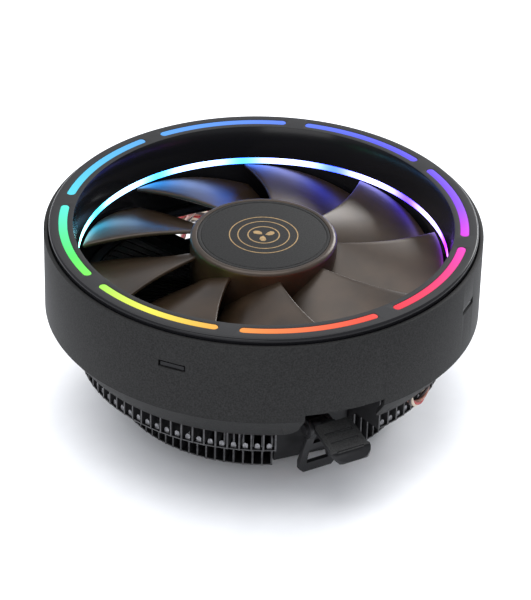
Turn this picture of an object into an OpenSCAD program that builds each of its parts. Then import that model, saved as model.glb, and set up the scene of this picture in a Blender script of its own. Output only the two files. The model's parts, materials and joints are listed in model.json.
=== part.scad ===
// Low-profile round processor cooler: a lit fan over a ring of radial fins, held by a spring clip.
// Frame: origin at the centre of the contact face, +Z up, thumb tab towards -Y. Millimetres.
// Turns called "at" are counted from -Y towards +X, as seen from above.

/* [Overall] */
// Height from the contact face to the top of the bezel
total_h = 60; // [59:0.5:64]
// Outer radius of the shroud
shroud_r = 62.5; // [62.3:0.1:64]

/* [Heatsink] */
// Radius of the solid core that the fins stand round
core_r = 18; // [17.5:0.1:18]
// Fins in each of the two half rings
fin_count = 41; // [30:1:42]
// Thickness of one fin
fin_t = 0.5; // [0.3:0.05:0.6]
// Outer radius of the fins' upper tier
upper_fin_r = 52.9; // [51:0.1:52.9]
// Outer radius of the fins' lower tier
lower_fin_r = 42.4; // [41:0.1:48]
// Height where the upper tier starts
tier_z = 17.3; // [14:0.1:20]
// Height of the fins' lowest edge
fin_z = 5; // [4:0.1:7]
// Turn of the first fin from the clip's channel
first_fin = 17.2; // [17.2:0.1:22]
// Side of the square contact plate
plate_side = 38; // [34:1:40]

/* [Clip] */
// Distance of each hook from the axis
hook_y = 44.5; // [43.5:0.1:45]
// Width of a hook at its foot
hook_w = 11.6; // [11:0.1:12]
// Height of a hook's foot above the contact face
hook_z = 4.3; // [3:0.1:4.4]
// Height of the lever's pivot pin
pivot_z = 18.5; // [18:0.1:19]
// Radius of the pivot pin
pin_r = 1; // [0.8:0.05:1.2]
// Radial play of the lever on its pin
pin_play = 0.06; // [0.02:0.01:0.1]
// Turn of the lever in its slack fork, seen from above
lever_turn = 7; // [0:0.5:7]
// Offset of the lever along its pin
lever_x = -0.6; // [-0.6:0.1:0.6]
// Height of the thumb tab's top at its root
tab_z = 24.5; // [24:0.1:25]
// Length of the thumb tab
tab_len = 14.6; // [14:0.1:16]

/* [Shroud] */
// Height of the shroud's lower lip
lip_z = 25; // [24:0.1:26]
// Outer radius of the shroud's lower lip
lip_r = 56; // [55.8:0.1:57]
// Height where the upright wall turns in to the lip
knee_z = 33.5; // [32:0.1:33.6]
// Width of the notches for the clip
notch_w = 23.5; // [20:0.5:26]

/* [Lights] */
// Inner radius of the light slots
slot_in_r = 55.8; // [55.6:0.1:56]
// Outer radius of the light slots
slot_out_r = 58.3; // [57.8:0.1:58.4]
// Turn between two neighbouring slots
slot_gap = 5.8; // [4:0.1:9]
// Turn of the first gap
slot_turn = 13.8; // [0:0.1:45]

/* [Fan] */
// Bore radius of the duct
duct_r = 52.8; // [52.6:0.1:53]
// Radius of the hub's flat top
hub_r = 20; // [19.6:0.1:20.4]
// Number of blades
blade_count = 9; // [5:1:11]
// Gap between blade tips and duct
tip_gap = 1; // [0.6:0.1:2]
// Radius of the rotor's shaft
shaft_r = 1.5; // [1.3:0.05:1.6]
// Radial play of the shaft in its bearing
shaft_play = 0.03; // [0.01:0.01:0.08]

/* [Lead] */
// Diameter of the fan lead
lead_d = 2; // [1.8:0.1:2]

/* [Hidden] */
$fn = 72;
e = 0.01;

// Fan module, counted down from the top
up = total_h - 60;
bezel_under = total_h - 1.8;
skirt_z = total_h - 10;
ring_z = total_h - 12;
ring_flange_z = ring_z + 1.2;
hub_top = total_h - 4.8;
fin_top = 34 + up;
core_top = 36 + up;
ledge_z = fin_top + 1;
ledge_t = 1.2;
flange_z = ledge_z + ledge_t + 0.05;
flange_t = 1.6;
base_z = core_top + 0.6;
base_top = base_z + 1.8;
wall_out = shroud_r - 1.6;
wall_in = wall_out - 0.9;
skin_r = shroud_r - 1.2;
screw_turn = 22.5;
spoke_turn = 28.5;
screw_ring = 57.2;
window_z = total_h - 11.7;

// Heatsink
plate_t = 5;
slot_half = 5;
slot_floor = 14;
base_screw_x = 11;
base_screw_y = 9;
saddle_w = 12;
saddle_y = 38;
saddle_half = 11.1;
sheet = 1.2;
fin_pitch = (180 - 2 * first_fin) / (fin_count - 1);

// Clip
bar_w = 7.2;
ear_t = 1.1;
knuckle_r = 2.3;
knuckle_half = 2.1;
bar_z = [pivot_z - 0.2, slot_floor + 0.65];
tab_root_y = -hook_y - 7.4;
tab_slope = 11.7;
tab_t = 3.1;
grooves = [4.1, 7.7, 11.3];

// Lights
slot_r = (slot_in_r + slot_out_r) / 2;
slot_half_w = (slot_out_r - slot_in_r) / 2;
cap_turn = slot_half_w / slot_r * 180 / PI;
led_count = 24;
led_r = 57.4;

// Rotor and motor
tip_r = duct_r - tip_gap;
hub_out = hub_r + 1;
hub_in = hub_r - 0.4;
hub_low = total_h - 19;
bush_r = 3;
tube_r = 4.2;
tube_top = base_top + 11.2;
shaft_low = base_top + 1;
lead_r = lead_d / 2;

// Fan lead: out of the grommet, one loop below the lip, round inside the shroud, out at the back
gland = [27.4, -50.4];
lead_route = [
    [27.4, -50.4, 35], [27.4, -50.4, 33], [26.9, -49.6, 30.5], [26.2, -48.3, 28], [25.9, -47.6, 25.5],
    [26, -47.5, 24], [26.5, -47.2, 22.1], [28, -46.3, 20.4], [30.1, -45, 19.7], [32.1, -43.5, 20.4],
    [33.5, -42.5, 22.1], [34.1, -42.1, 24.6], [34.7, -42.2, 27], [36.1, -42.1, 29.3], [38.2, -40.7, 30.7],
    [40.9, -38.1, 31], [45.8, -32.1, 31], [50.7, -23.6, 31], [54, -14.5, 31], [55.7, -4.9, 31],
    [55.7, 4.9, 31], [54, 14.5, 31], [50.7, 23.6, 31], [45.8, 32.1, 31], [39.5, 39.5, 31],
    [32.1, 45.8, 31], [25.4, 49.8, 31], [19.1, 52.5, 31], [14.5, 54, 30.7], [10.5, 56, 30.2],
    [7.5, 59, 29.4], [6, 62.5, 28], [5, 66.5, 25.2], [4.5, 70, 21.5], [4.2, 72.8, 17],
    [4, 75, 12], [4, 77, 7.4], [4, 79.4, 3.6], [4, 82, 1.6], [4, 84.5, 1]
];
tail_route = [[26, 84, 3], [26, 80, 3], [26, 75.5, 2.9]];
coil_at = [15, 88];
coil_mean_r = 11;
plug_at = [26, 75.5];
plug_size = [10.2, 12, 5.8];

// A turn counted from -Y towards +X
module at(turn, r = 0) rotate([0, 0, turn - 90]) translate([r, 0, 0]) children();

// An outline in Y and Z, as wide as w along X
module side_on(w) rotate([90, 0, 90]) translate([0, 0, -w / 2]) linear_extrude(w) children();

// An outline in X and Z, as thick as t, standing at y
module face_on(y, t) translate([0, y + t / 2, 0]) rotate([90, 0, 0]) linear_extrude(t) children();

module ring(r_in, r_out, z, h) {
    translate([0, 0, z]) difference() {
        cylinder(r = r_out, h = h);
        translate([0, 0, -1]) cylinder(r = r_in, h = h + 2);
    }
}

module disc(r, z, h) translate([0, 0, z]) cylinder(r = r, h = h);

// Part of a ring between two turns
module ring_part(r_in, r_out, z, h, from, to) {
    rotate([0, 0, from - 90]) rotate_extrude(angle = to - from)
        translate([r_in, z]) square([r_out - r_in, h]);
}

module base_screw_places() {
    for (x = [-base_screw_x, base_screw_x], y = [-base_screw_y, base_screw_y])
        translate([x, y, 0]) children();
}

module frame_screw_places() {
    for (turn = [90 - screw_turn, 90 + screw_turn, 270 - screw_turn, 270 + screw_turn])
        at(turn, screw_ring) children();
}

// ---- Heatsink ----

module contact_plate() color("#b87333") {
    h = plate_side / 2;
    c = 2;
    difference() {
        linear_extrude(plate_t)
            polygon([[-h + c, -h], [h - c, -h], [h, -h + c], [h, h - c], [h - c, h], [-h + c, h],
                [-h, h - c], [-h, -h + c]]);
        base_screw_places() {
            translate([0, 0, -1]) cylinder(r = 1.6, h = plate_t + 2);
            translate([0, 0, -e]) cylinder(r1 = 3.1, r2 = 1.6, h = 1.6);
        }
    }
}

module base_screws() color("#c8c8cc") {
    base_screw_places() difference() {
        union() {
            translate([0, 0, 0.3]) cylinder(r1 = 2.7, r2 = 1.4, h = 1.5);
            translate([0, 0, 1.7]) cylinder(r = 1.4, h = 10);
        }
        translate([0, 0, -e]) cylinder(r = 1, h = 1.3, $fn = 6);
    }
}

module clip_saddle() color("#1d1d20") {
    h = saddle_half;
    translate([-saddle_w / 2, -saddle_y, plate_t]) cube([saddle_w, 2 * saddle_y, sheet]);
    for (y = [-saddle_y, saddle_y]) difference() {
        face_on(y, sheet) polygon([[-h, plate_t], [h, plate_t], [h, 31], [h - 2, 33.5], [2 - h, 33.5],
            [-h, 31]]);
        face_on(y, 3 * sheet) translate([-4.5, 15.5]) square([9, 5.5]);
    }
}

module heat_core() color("#8d9095") {
    difference() {
        disc(core_r, plate_t, core_top - plate_t);
        translate([-slot_half, -50, slot_floor]) cube([2 * slot_half, 100, 50]);
        translate([-saddle_w / 2 - 0.1, -50, 0]) cube([saddle_w + 0.2, 100, plate_t + sheet + 0.05]);
        base_screw_places() translate([0, 0, plate_t - 1]) cylinder(r = 1.45, h = 8.5);
    }
}

// One fin: an inner foot, a narrow lower tier and a wide upper tier
module fin() {
    rotate([90, 0, 0]) translate([0, 0, -fin_t / 2]) linear_extrude(fin_t)
        polygon([[core_r + 0.5, fin_z + 2.5], [core_r + 7, fin_z], [lower_fin_r, fin_z],
            [lower_fin_r, tier_z - 0.6], [lower_fin_r + 1.2, tier_z], [upper_fin_r, tier_z],
            [upper_fin_r, fin_top], [core_r + 0.5, fin_top]]);
}

// A band of short straight pieces that links one fin to the next
module fin_band(r_in, r_out, z, h, from) {
    turns = [for (i = [0 : fin_count - 1]) from + i * fin_pitch - 90];
    translate([0, 0, z]) linear_extrude(h) polygon(concat(
        [for (t = turns) r_out * [cos(t), sin(t)]],
        [for (i = [fin_count - 1 : -1 : 0]) r_in * [cos(turns[i]), sin(turns[i])]]));
}

// Half a ring of fins on a sleeve, linked by the folded edges that hold them apart
module fin_stack(side) {
    from = side > 0 ? first_fin : 180 + first_fin;
    fold = 0.35;
    for (i = [0 : fin_count - 1]) at(from + i * fin_pitch) fin();
    fin_band(core_r + 0.1, core_r + 0.9, fin_z + 3, fin_top - fin_z - 3.3, from);
    fin_band(upper_fin_r - 1.6, upper_fin_r - 0.1, tier_z + 0.1, fold, from);
    fin_band(upper_fin_r - 1.6, upper_fin_r - 0.1, fin_top - fold - 0.1, fold, from);
    fin_band(lower_fin_r - 1.6, lower_fin_r - 0.1, fin_z + 0.1, fold, from);
}

module fin_stack_left() color("#2a2a2d") fin_stack(-1);

module fin_stack_right() color("#2a2a2d") fin_stack(1);

module bracket_ring() color("#3a3a3d") {
    difference() {
        ring(50.5, 58.6, fin_top, 1);
        frame_screw_places() disc(1.1, fin_top - 1, 3);
        translate([gland[0], gland[1], 0]) disc(3, fin_top - 1, 3);
    }
}

// ---- Clip ----

// Outline of a hook: a tall triangle with a lug window and a small window above it
module hook_outline() {
    h = hook_w / 2;
    shoulder = pivot_z - 3.2;
    difference() {
        polygon([[1.3 - h, hook_z], [h - 1.3, hook_z], [h, hook_z + 1.3], [h, hook_z + 3.6], [3.4, shoulder],
            [2.3, shoulder + 0.3], [2.3, pivot_z - 1.6], [-2.3, pivot_z - 1.6], [-2.3, shoulder + 0.3],
            [-3.4, shoulder], [-h, hook_z + 3.6], [-h, hook_z + 1.3]]);
        polygon([[2.3 - h, hook_z + 2.8], [h - 2.3, hook_z + 2.8], [h - 3.1, hook_z + 6.95],
            [3.1 - h, hook_z + 6.95]]);
        polygon([[-1.7, hook_z + 8.9], [1.7, hook_z + 8.9], [0.7, hook_z + 11.2], [-0.7, hook_z + 11.2]]);
    }
}

// The lever and its fork, turned and moved along the pin as their slack allows
module in_fork() {
    translate([lever_x, -hook_y, 0]) rotate([0, 0, lever_turn]) translate([0, hook_y, 0]) children();
}

// Bowed spring strip: presses on the core at its middle, hooks at the back, forked at the front
module clip_bar() color("#2b2b2e") {
    t = sheet / 2;
    front = -hook_y + knuckle_r + 0.8;
    side_on(bar_w) polygon([[front, bar_z[0] - t], [-30, bar_z[0] - 0.3 - t], [-6, bar_z[1] - t],
        [6, bar_z[1] - t], [30, bar_z[0] - 0.3 - t], [hook_y + t, bar_z[0] - t], [hook_y + t, bar_z[0] + t],
        [30, bar_z[0] - 0.3 + t], [6, bar_z[1] + t], [-6, bar_z[1] + t], [-30, bar_z[0] - 0.3 + t],
        [front, bar_z[0] + t]]);
    face_on(hook_y, sheet) hook_outline();
    face_on(hook_y, sheet) translate([-2.3, pivot_z - 2]) square([4.6, 2]);
    in_fork() {
        side_on(bar_w - 0.1) translate([front + 0.1, bar_z[0] - t - 0.05]) square([1.6, sheet + 0.1]);
        for (x = [-1, 1]) translate([x * (bar_w / 2 - ear_t / 2), 0, 0]) difference() {
            union() {
                side_on(ear_t) translate([-hook_y, pivot_z]) circle(r = 2.8);
                side_on(ear_t) translate([-hook_y, pivot_z - 2.1]) square([4.6, 4.2]);
            }
            side_on(ear_t + 2) translate([-hook_y, pivot_z]) circle(r = pin_r);
        }
    }
}

module clip_pin() color("#b9babd") in_fork() {
    side_on(bar_w + 1.2) translate([-hook_y, pivot_z]) circle(r = pin_r);
    for (x = [-1, 1]) translate([x * (bar_w / 2 + 0.45), 0, 0])
        side_on(0.7) translate([-hook_y, pivot_z]) circle(r = pin_r + 0.6);
}

// The lever's arm, seen from the side, from the pin out under the tab
module arm_outline() {
    root = tab_root_y + 1.4;
    tip = tab_root_y - 11.1;
    polygon([[-hook_y, pivot_z - 2], [-hook_y - 2.1, pivot_z - 0.5], [root, tab_z - 2.35],
        [tip, tab_z - 4.94], [tip, tab_z - 3.54], [root + 0.5, tab_z - 0.95], [-hook_y - 1.5, pivot_z + 2.6],
        [-hook_y + 0.5, pivot_z + 2]]);
}

module hook_plate() color("#1b1b1d") in_fork() {
    difference() {
        union() {
            face_on(-hook_y, 1.5) hook_outline();
            side_on(2 * knuckle_half) translate([-hook_y, pivot_z]) circle(r = knuckle_r);
            side_on(2 * knuckle_half) arm_outline();
        }
        side_on(10) translate([-hook_y, pivot_z]) circle(r = pin_r + pin_play);
    }
}

// Plan of the thumb tab from its root to its round tip, along -Y
module tab_plan() {
    half = [[5.1, 0], [5.75, -1.2], [5.75, 4.6 - tab_len], [6.2, 3.8 - tab_len], [6, 2.6 - tab_len],
        [5.3, 1.4 - tab_len], [3.9, 0.4 - tab_len], [2.2, -tab_len]];
    polygon(concat(half, [for (i = [len(half) - 1 : -1 : 0]) [-half[i][0], half[i][1]]]));
}

// Side view of the tab: flat top, rounded nose, thin root
module tab_side() {
    tip = -tab_len;
    polygon([[0, 0], [tip + 3.3, 0], [tip + 1.8, -0.25], [tip + 0.6, -0.8], [tip, -1.3], [tip + 0.3, -1.8],
        [tip + 2.6, 0.15 - tab_t], [tip + 3.4, -tab_t], [-1, -tab_t], [0, -2.6]]);
}

// Section across the tab: its lower corners are cut well back
module tab_section() {
    polygon([[-7, 1], [7, 1], [7, -0.4], [6.3, -0.75], [3.2, -tab_t - 0.1], [-3.2, -tab_t - 0.1],
        [-6.3, -0.75], [-7, -0.4]]);
}

module thumb_tab() color("#2c2c2e") in_fork() {
    difference() {
        translate([0, tab_root_y, tab_z]) rotate([tab_slope, 0, 0]) difference() {
            intersection() {
                translate([0, 0, -10]) linear_extrude(12) tab_plan();
                side_on(30) tab_side();
                face_on(-10, 30) tab_section();
            }
            for (y = grooves) translate([0, -y, 0]) rotate([0, 90, 0])
                cylinder(r = 0.4, h = 8.6, center = true);
        }
        side_on(2 * knuckle_half) arm_outline();
    }
}

// ---- Shroud and fan frame ----

// Parallel sides that open out in a quarter round at the lip
module notch_outline() {
    h = notch_w / 2;
    round_r = 3;
    corner = [for (t = [0 : 15 : 90]) [h + round_r * (1 - cos(t)), lip_z + round_r * (1 - sin(t))]];
    polygon(concat([[h, ledge_z + 0.5]], corner, [[h + round_r, lip_z - 2], [-h - round_r, lip_z - 2]],
        [for (i = [len(corner) - 1 : -1 : 0]) [-corner[i][0], corner[i][1]]], [[-h, ledge_z + 0.5]]));
}

module shroud() color("#3e3e40") {
    difference() {
        rotate_extrude() polygon([[lip_r, lip_z], [shroud_r, knee_z], [shroud_r, total_h - 2.3],
            [shroud_r - 0.4, total_h - 1.9], [skin_r + 0.2, total_h - 1.9], [skin_r, total_h - 2.2],
            [skin_r, ledge_z + ledge_t], [56, ledge_z + ledge_t], [56, ledge_z], [skin_r, ledge_z],
            [skin_r, knee_z + 0.4], [lip_r - 0.9, lip_z]]);
        for (y = [-60, 60]) face_on(y, 24) notch_outline();
        for (turn = [45 : 90 : 315]) at(turn, shroud_r) translate([-3, -4, window_z - 1.05])
            cube([6, 8, 2.1]);
        frame_screw_places() disc(1.4, ledge_z - 1, 4);
        translate([gland[0], gland[1], 0]) disc(1.95, ledge_z - 1, 4);
    }
}

module fan_frame() color("#19191b") {
    difference() {
        union() {
            rotate_extrude() polygon([[duct_r, flange_z], [wall_out, flange_z],
                [wall_out, bezel_under - 0.05], [wall_in, bezel_under - 0.05],
                [wall_in, flange_z + flange_t], [duct_r + 1.8, flange_z + flange_t],
                [duct_r + 1.8, ring_z - 0.02], [duct_r, ring_z - 0.02]]);
            disc(19.4, base_z, 1.8);
            disc(tube_r, base_z, tube_top - base_z);
            for (turn = [0 : 90 : 270]) at(turn + spoke_turn) translate([18, -2.6, base_z])
                cube([duct_r - 17.5, 5.2, 3]);
            for (turn = [45 : 90 : 315]) at(turn) translate([wall_out - 0.4, -3.5, window_z - 0.8])
                cube([1.5, 7, 1.2]);
        }
        disc(bush_r, base_top, 30);
        frame_screw_places() disc(1.4, flange_z - 1, 4);
        translate([gland[0], gland[1], 0]) disc(1.95, flange_z - 1, 4);
        at(spoke_turn) translate([17, -1.9, base_top]) cube([41, 3.8, 1.3]);
        for (turn = [0 : 90 : 270]) at(turn) translate([wall_in - 1, -4.5, bezel_under - 4])
            cube([3, 9, 1.4]);
    }
}

module frame_screws() color("#77787c") {
    frame_screw_places() difference() {
        union() {
            disc(1.05, fin_top - 0.6, flange_z + flange_t - fin_top + 1);
            disc(2.2, flange_z + flange_t, 1.4);
        }
        disc(0.9, flange_z + flange_t + 0.6, 2, $fn = 6);
    }
}

// ---- Bezel and lights ----

// Outline of a light slot with round ends, drawn in by less on every side
module slot_outline(turn, less) {
    half = 22.5 - slot_gap / 2 - cap_turn;
    end_r = slot_half_w - less;
    steps = 8;
    arc = [for (i = [0 : steps]) turn - 90 + half * (2 * i / steps - 1)];
    first = arc[0];
    last = arc[steps];
    polygon(concat(
        [for (t = arc) (slot_r + end_r) * [cos(t), sin(t)]],
        [for (t = [30 : 30 : 150]) slot_r * [cos(last), sin(last)] + end_r * [cos(last + t), sin(last + t)]],
        [for (i = [steps : -1 : 0]) (slot_r - end_r) * [cos(arc[i]), sin(arc[i])]],
        [for (t = [210 : 30 : 330])
            slot_r * [cos(first), sin(first)] + end_r * [cos(first + t), sin(first + t)]]));
}

module slots(less, z, h) {
    for (i = [0 : 7]) translate([0, 0, z]) linear_extrude(h) slot_outline(slot_turn + 22.5 + 45 * i, less);
}

module bezel_ring() color("#2f2f31") {
    rim_r = 0.8;
    rim = [for (t = [90 : -15 : 0]) [wall_out - 0.6 + rim_r * cos(t), total_h - rim_r + rim_r * sin(t)]];
    difference() {
        rotate_extrude() polygon(concat([[duct_r + 1.4, total_h]], rim,
            [[wall_out + 0.2, bezel_under - 0.8], [wall_out + 0.05, bezel_under - 0.8],
            [wall_out + 0.05, bezel_under], [duct_r + 2.2, bezel_under],
            [duct_r + 1.5, skirt_z + 0.02], [duct_r, skirt_z + 0.02]]));
        slots(0, bezel_under - 1, 4);
    }
    for (turn = [0 : 90 : 270]) at(turn) {
        translate([wall_in - 1, -3.5, bezel_under - 4.2]) cube([0.7, 7, 4.3]);
        translate([wall_in - 0.5, -3.5, bezel_under - 3.9]) cube([0.7, 7, 1]);
    }
}

module light_guide() color("#e8e8ff") {
    ring(duct_r + 2.5, wall_in - 1.2, bezel_under - 1.6, 1.55);
    slots(0.08, bezel_under - 0.2, 2);
}

module inner_light_ring() color("#f4f6ff") {
    rotate_extrude() polygon([[duct_r, ring_z], [wall_in - 0.1, ring_z], [wall_in - 0.1, ring_flange_z],
        [duct_r + 1.6, ring_flange_z], [duct_r + 1.6, skirt_z], [duct_r, skirt_z]]);
}

module led_board() color("#20402a") {
    difference() {
        ring(duct_r + 2.6, wall_in - 0.2, ring_flange_z, 1.2);
        for (turn = [45 : 90 : 315]) at(turn, led_r - 1.2) disc(0.6, ring_flange_z - 1, 4);
    }
}

module leds() color("#fffdf2") {
    for (i = [0 : led_count - 1]) at((i + 0.5) * 360 / led_count, led_r) difference() {
        translate([-1.5, -1.5, ring_flange_z + 1.2]) cube([3, 3, 1.4]);
        disc(1.1, ring_flange_z + 2.3, 1);
    }
}

// ---- Motor ----

module bearing_sleeve() color("#c29a4b") ring(shaft_r + shaft_play, bush_r - 0.02, base_top + 2.3, 8.7);

module thrust_pad() color("#e9e6da") disc(bush_r - 0.1, base_top, 0.8);

module motor_pcb() color("#1f4a33") {
    difference() {
        ring(tube_r + 0.2, 17.5, base_top + 0.05, 1);
        for (turn = [45 : 90 : 315]) at(turn, 15) disc(0.7, base_top - 1, 4);
    }
}

module driver_chip() color("#151517") {
    at(120, 12) translate([-1.5, -1.5, base_top + 1.05]) cube([3, 3, 1]);
    at(300, 12) translate([-1, -0.6, base_top + 1.05]) cube([2, 1.2, 0.7]);
}

module stator_core() color("#8f9296") {
    z = base_top + 5.1;
    h = 5;
    difference() {
        union() {
            disc(7, z, h);
            for (turn = [0 : 90 : 270]) {
                at(turn) translate([6, -2, z]) cube([9.2, 4, h]);
                ring_part(14.6, 16.6, z, h, turn - 34, turn + 34);
            }
        }
        disc(tube_r + 0.05, z - 1, h + 2);
    }
}

module stator_windings() color("#b4642d") {
    z = base_top + 3.2;
    for (turn = [0 : 90 : 270]) at(turn) difference() {
        translate([7.7, -4.2, z]) cube([6, 8.4, 8.8]);
        translate([7, -2.05, z + 1.85]) cube([8, 4.1, 5.1]);
    }
}

module motor_leads() color("#26262a") {
    at(spoke_turn) translate([17.8, -1.7, base_top + 0.05]) cube([39.6, 3.4, 0.9]);
    translate([gland[0], gland[1], 0]) disc(0.98, lead_route[0][2] + 0.02, base_top + 0.9 - lead_route[0][2]);
}

// ---- Lead ----

module lead_grommet() color("#101012") {
    translate([gland[0], gland[1], 0]) difference() {
        union() {
            disc(2.6, ledge_z - 1.2, 1.2);
            disc(1.9, ledge_z - 0.2, flange_z + flange_t - ledge_z + 0.2);
        }
        disc(lead_r + 0.03, ledge_z - 3, 10);
    }
}

function unit(v) = v / norm(v);
function heading(p, i) = unit(p[min(i + 1, len(p) - 1)] - p[max(i - 1, 0)]);
// A level direction square to the heading, or square to the last one where the lead runs upright
function aside(d) = norm([d[0], d[1]]) > 0.05 ? unit([d[1], -d[0], 0]) : [0.88, 0.48, 0];

// A round lead with n sides along a list of points
module swept_lead(p, r, n = 8) {
    points = [for (i = [0 : len(p) - 1])
        let (d = heading(p, i), a = unit(aside(d) - d * (aside(d) * d)), b = cross(d, a))
        for (k = [0 : n - 1]) p[i] + r * (a * cos(360 * k / n) + b * sin(360 * k / n))];
    last = (len(p) - 1) * n;
    faces = concat(
        [[for (k = [0 : n - 1]) k]],
        [for (i = [0 : len(p) - 2], k = [0 : n - 1]) let (q = i * n, m = (k + 1) % n)
            [q + k, q + n + k, q + n + m, q + m]],
        [[for (k = [n - 1 : -1 : 0]) last + k]]
    );
    polyhedron(points = points, faces = faces, convexity = 8);
}

module fan_lead() color("#b03a36") swept_lead(lead_route, lead_r);

module lead_coil() color("#b03a36") {
    translate([coil_at[0], coil_at[1], 0]) rotate_extrude() translate([coil_mean_r - lead_r - 0.05, 0])
        square([lead_d + 0.1, 2 * lead_d + 0.05]);
}

module lead_tail() color("#b03a36") swept_lead(tail_route, lead_r);

module fan_plug() color("#141416") {
    w = plug_size[0];
    l = plug_size[1];
    h = plug_size[2];
    translate([plug_at[0], plug_at[1], 0]) difference() {
        union() {
            translate([-w / 2, -l, 0]) cube([w, l, h - 1]);
            for (x = [-w / 2 + 1.2, w / 2 - 3.8]) translate([x, -l, h - 1.1]) cube([2.6, l - 2, 1.1]);
        }
        for (i = [0 : 3]) translate([(i - 1.5) * 2.54 - 0.8, -l - 1, 1.6]) cube([1.6, l - 2, 1.6]);
        translate([0, -2.5, 2.9]) rotate([-90, 0, 0]) cylinder(r = lead_r, h = 5);
    }
}

module plug_contacts() color("#d8b35a") {
    for (i = [0 : 3]) translate([plug_at[0] + (i - 1.5) * 2.54, plug_at[1] - plug_size[1] + 1, 2.4])
        difference() {
            translate([-0.7, 0, -0.7]) cube([1.4, 7, 1.4]);
            translate([-0.4, -1, -0.4]) cube([0.8, 6, 0.8]);
        }
}

// ---- Rotor ----

// Blade section points, mirrored below: wider, flatter, lower and further swept towards the tip
function blade_point(t, s, side) = let (
    r = hub_r + 0.4 + t * (tip_r - hub_r - 0.4),
    half_width = 7.7 + 11 * t,
    drop = 10.2 - 3.2 * t,
    along = (2 * s - 1) * half_width,
    thick = (0.35 + 0.75 * sin(180 * s)) * (1.1 - 0.3 * t),
    turn = along / r * 180 / PI - 14 * t,
    z = hub_low + 6 - 2.5 * t + (0.5 - s) * drop + 1.4 * sin(180 * s) + side * thick
) [r * cos(turn), r * sin(turn), z];

module blade() {
    rings = 6;
    n = 6;
    around = 2 * n;
    points = [for (i = [0 : rings - 1], k = [0 : around - 1]) let (t = i / (rings - 1))
        k <= n ? blade_point(t, k / n, k == 0 || k == n ? 0 : 1) : blade_point(t, (around - k) / n, -1)];
    last = (rings - 1) * around;
    near = [for (k = [1 : n]) each k == 1 ? [[0, around - 1, 1]] : k == n ? [[n - 1, n + 1, n]] :
        [[k - 1, around - k, k], [k - 1, around - k + 1, around - k]]];
    walls = [for (i = [0 : rings - 2], k = [0 : around - 1]) let (q = i * around, m = (k + 1) % around)
        each [[q + k, q + around + m, q + around + k], [q + k, q + m, q + around + m]]];
    far = [for (f = near) [f[2] + last, f[1] + last, f[0] + last]];
    polyhedron(points = points, faces = concat(near, walls, far), convexity = 6);
}

module impeller() color("#1f1d1c") {
    low = hub_low;
    top = hub_top;
    difference() {
        union() {
            rotate_extrude() polygon([[0, top - 1.6], [hub_in, top - 1.6], [hub_in, low], [hub_out, low],
                [hub_out, top - 1], [hub_out - 0.35, top - 0.3], [hub_r, top], [hub_r - 0.95, top],
                [hub_r - 0.95, top - 0.7], [0, top - 0.7]]);
            disc(3.2, tube_top + 0.8, top - 1.5 - tube_top - 0.8);
            for (i = [0 : blade_count - 1]) rotate([0, 0, i * 360 / blade_count]) mirror([0, 1, 0]) blade();
        }
        disc(shaft_r, tube_top, top - 1.2 - tube_top);
    }
}

module hub_label() color("#4a4a4c") disc(hub_r - 1.05, hub_top - 0.7, 0.65);

module rotor_yoke() color("#6f7276") {
    ring(hub_in - 0.9, hub_in - 0.1, hub_low + 1, hub_top - 1.7 - hub_low - 1);
    ring(3.4, hub_in - 0.2, hub_top - 2.3, 0.6);
}

module magnet_ring() color("#3b3b3f") ring(17.3, hub_in - 0.95, hub_low + 2, 8.5);

module rotor_shaft() color("#cfd0d3") {
    difference() {
        disc(shaft_r, shaft_low, hub_top - 1.3 - shaft_low);
        ring(shaft_r - 0.3, shaft_r + 1, shaft_low + 0.45, 0.5);
    }
}

module lock_washer() color("#d9d7cc") ring(shaft_r - 0.28, bush_r - 0.4, shaft_low + 0.5, 0.4);

contact_plate();
base_screws();
clip_saddle();
heat_core();
fin_stack_left();
fin_stack_right();
bracket_ring();
clip_bar();
clip_pin();
shroud();
fan_frame();
frame_screws();
bezel_ring();
light_guide();
inner_light_ring();
led_board();
leds();
bearing_sleeve();
thrust_pad();
motor_pcb();
driver_chip();
stator_core();
stator_windings();
motor_leads();
lead_grommet();
fan_lead();
lead_coil();
lead_tail();
fan_plug();
plug_contacts();
impeller();
hub_label();
rotor_yoke();
magnet_ring();
rotor_shaft();
lock_washer();
hook_plate();
thumb_tab();
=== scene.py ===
# %% [markdown]
# # A lit, low-profile processor cooler
#
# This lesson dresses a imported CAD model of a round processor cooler. The CAD holds every size,
# joint and place. Blender adds the rounded edges, the lit rings, the fan's swept blades, the
# folded fins, the fan's twisted wires and all the finishes.

# %% Load the CAD frame
import json
import math

import bmesh
import bpy
from mathutils import Color, Matrix, Vector


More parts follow.
